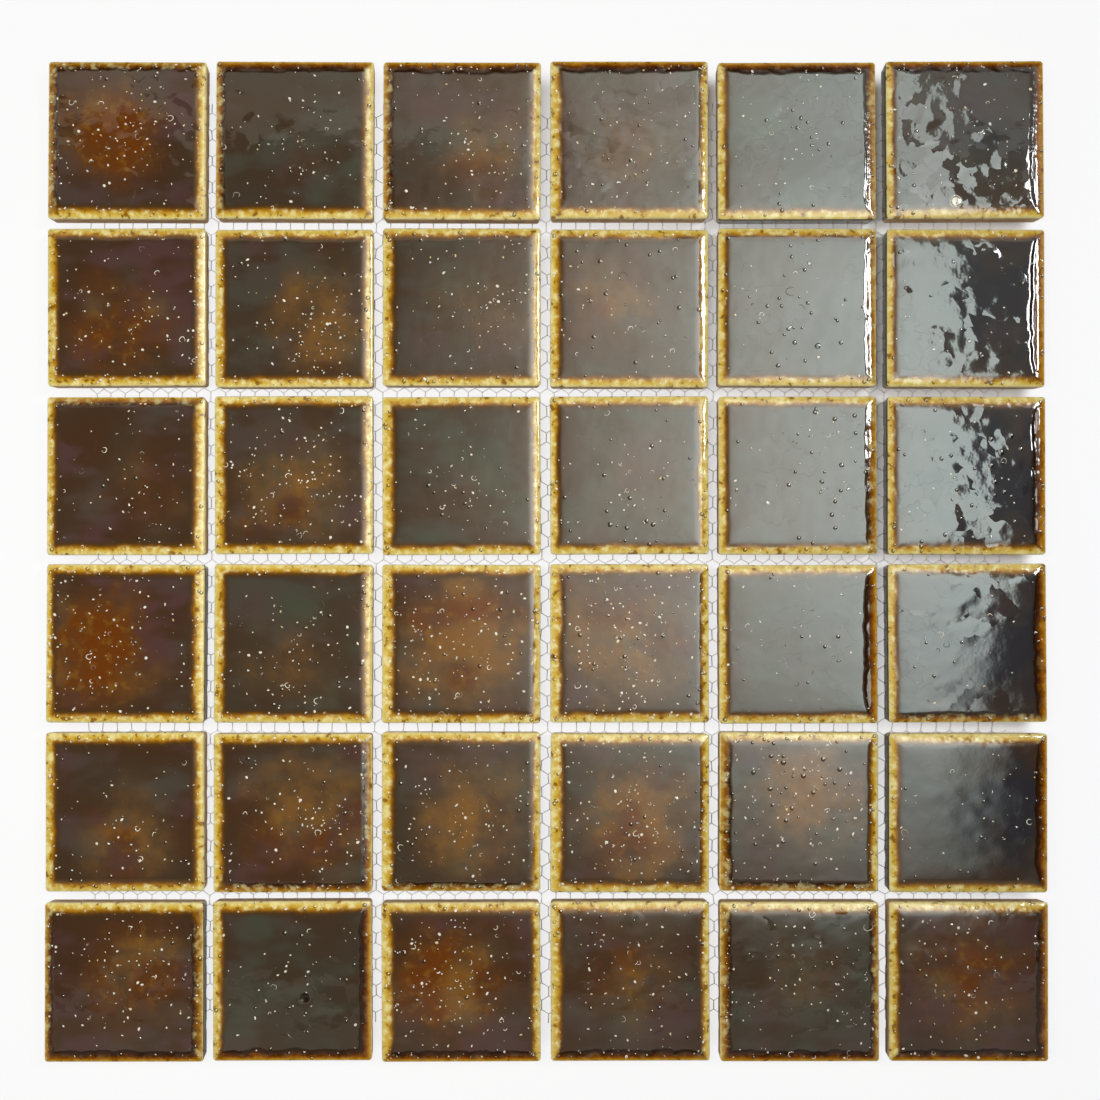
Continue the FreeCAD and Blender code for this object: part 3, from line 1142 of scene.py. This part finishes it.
def ceiling_material():
    g = Graph("studio ceiling")
    virtual_camera = 2 * glaze_level * MM - camera_height * MM
    spread = (CEILING_HEIGHT - virtual_camera) / (CAMERA_ABOVE_GLAZE_MM * MM)
    x, y = g.x_and_y(g.vector("MULTIPLY", g.place(), (1 / spread,) * 3).outputs[0])
    ramp = g.math("POWER", g.range(x, *PANEL_RAMP), 1.25)
    line = g.minus(g.range(y, *EAST_EDGE, smooth=False), g.range(y, *EAST_EDGE_SOUTH))
    softness = g.range(y, *EAST_SOFTNESS)
    east = g.range(x, g.plus(line, softness), g.minus(line, softness))
    north = g.times(g.range(y, *NORTH_DIMMING), g.range(y, *NORTH_FADE))
    panel = g.times(ramp, east, g.range(y, *SOUTH_FADE), north)
    top_start = g.range(x, *TOP_STRIP)
    top = g.times(g.range(y, top_start, g.plus(top_start, 0.003), 0.0, 0.85), g.range(y, *TOP_END))
    bottom = g.times(g.range(y, *BOTTOM_STRIP), g.range(y, *BOTTOM_END))
    beyond = g.times(g.range(x, *EAST_STRIP), g.range(x, *EAST_END), g.range(y, *EAST_RISE))
    strength = g.plus(g.times(panel, PANEL_GLOW), CEILING_GLOW, top, bottom, beyond)
    tint = g.mix(g.range(x, *WARM_TO_COOL), (1.0, 0.89, 0.72, 1), (0.88, 1.0, 0.965, 1))
    return g.surface(g.glow(tint, strength))


def window_material():
    g = Graph("window glow")
    return g.surface(g.glow((0.94, 0.98, 1, 1), WINDOW_GLOW))


def facing(place, aim):
    """The turn that points an object's own -Z from place to aim."""
    direction = np.array(aim) - np.array(place)
    lean = math.atan2(math.hypot(direction[0], direction[1]), -direction[2])
    return (lean, 0, math.atan2(direction[1], direction[0]) - math.pi / 2)


def flat_card(name, place, half_x, half_y, material):
    corners = np.array([(-1, -1, 0), (1, -1, 0), (1, 1, 0), (-1, 1, 0)]) * (half_x, half_y, 0)
    card = mesh_object(name, corners, [(0, 1, 2, 3)], material)
    card.location = place
    return card


def hide_from(item, *rays):
    for ray in rays:
        setattr(item, f"visible_{ray}", False)


def area_light(name, place, aim, size, power):
    """A soft lamp, which lights but isn't mirrored."""
    data = bpy.data.lights.new(name, "AREA")
    data.size = size
    data.energy = power
    lamp = add_object(name, data)
    lamp.location = place
    lamp.rotation_euler = facing(place, aim)
    hide_from(lamp, "glossy", "camera")


def floor_material():
    """A white table. The camera sees it nearly plain white, less so in the joints and least in the
    north-eastern ones, as painted shade.
    """
    g = Graph("white table")
    by_camera = g.node("ShaderNodeLightPath").outputs["Is Camera Ray"]
    x, y = g.x_and_y(g.place())
    reach = g.math("MAXIMUM", g.math("ABSOLUTE", x), g.math("ABSOLUTE", y))
    plain = g.node("ShaderNodeBsdfPrincipled", Base_Color=(0.93, 0.93, 0.93, 1), Roughness=0.8)
    lit = g.glow((1, 1, 1, 1), by_camera)
    # The glow to the camera fades towards the north-eastern joints: painted shade.
    far = g.plus(g.times(x, 0.8), g.times(y, 0.5))
    in_joints = g.range(far, 0.02, 0.12, 0.75, 0.03)
    share = g.range(reach, SHEET_REACH - 0.004, SHEET_REACH + 0.002, in_joints, 0.85)
    share = g.times(by_camera, share)
    return g.surface(g.node("ShaderNodeMixShader", i0=share, i1=plain.outputs[0], i2=lit.outputs[0]))


def make_world():
    """A white room, which lights the sheet far less than it shows."""
    g = Graph("room", "worlds")
    path = g.node("ShaderNodeLightPath").outputs
    seen = g.math("MAXIMUM", path["Is Camera Ray"], path["Is Glossy Ray"])
    strength = g.range(seen, 0.0, 1.0, ROOM_LIGHT, 1.0, smooth=False)
    back = g.node("ShaderNodeBackground", Strength=strength)
    bpy.context.scene.world = g.surface(back, "ShaderNodeOutputWorld")


def make_studio():
    flat_card("table", (0, 0, -TABLE_DROP), TABLE_REACH, TABLE_REACH, floor_material())
    overhead = (*camera_foot, CEILING_HEIGHT)
    ceiling = flat_card("ceiling", overhead, CEILING_REACH, CEILING_REACH, ceiling_material())
    window = flat_card("window", WINDOW_PLACE, *WINDOW_HALF, window_material())
    window.rotation_euler = facing(WINDOW_PLACE, WINDOW_AIM)
    for card in (ceiling, window):
        hide_from(card, "camera", "diffuse", "shadow", "transmission")
    make_world()
    for lamp in LAMPS:
        area_light(*lamp)


make_camera()
make_studio()
glazed_stone = glaze_material()
for row_number in range(1, ROWS + 1):
    for column_number in range(1, COLUMNS + 1):
        make_tile(row_number, column_number, glazed_stone)
make_net(net_material())

bpy.context.scene.view_settings.view_transform = "Standard"
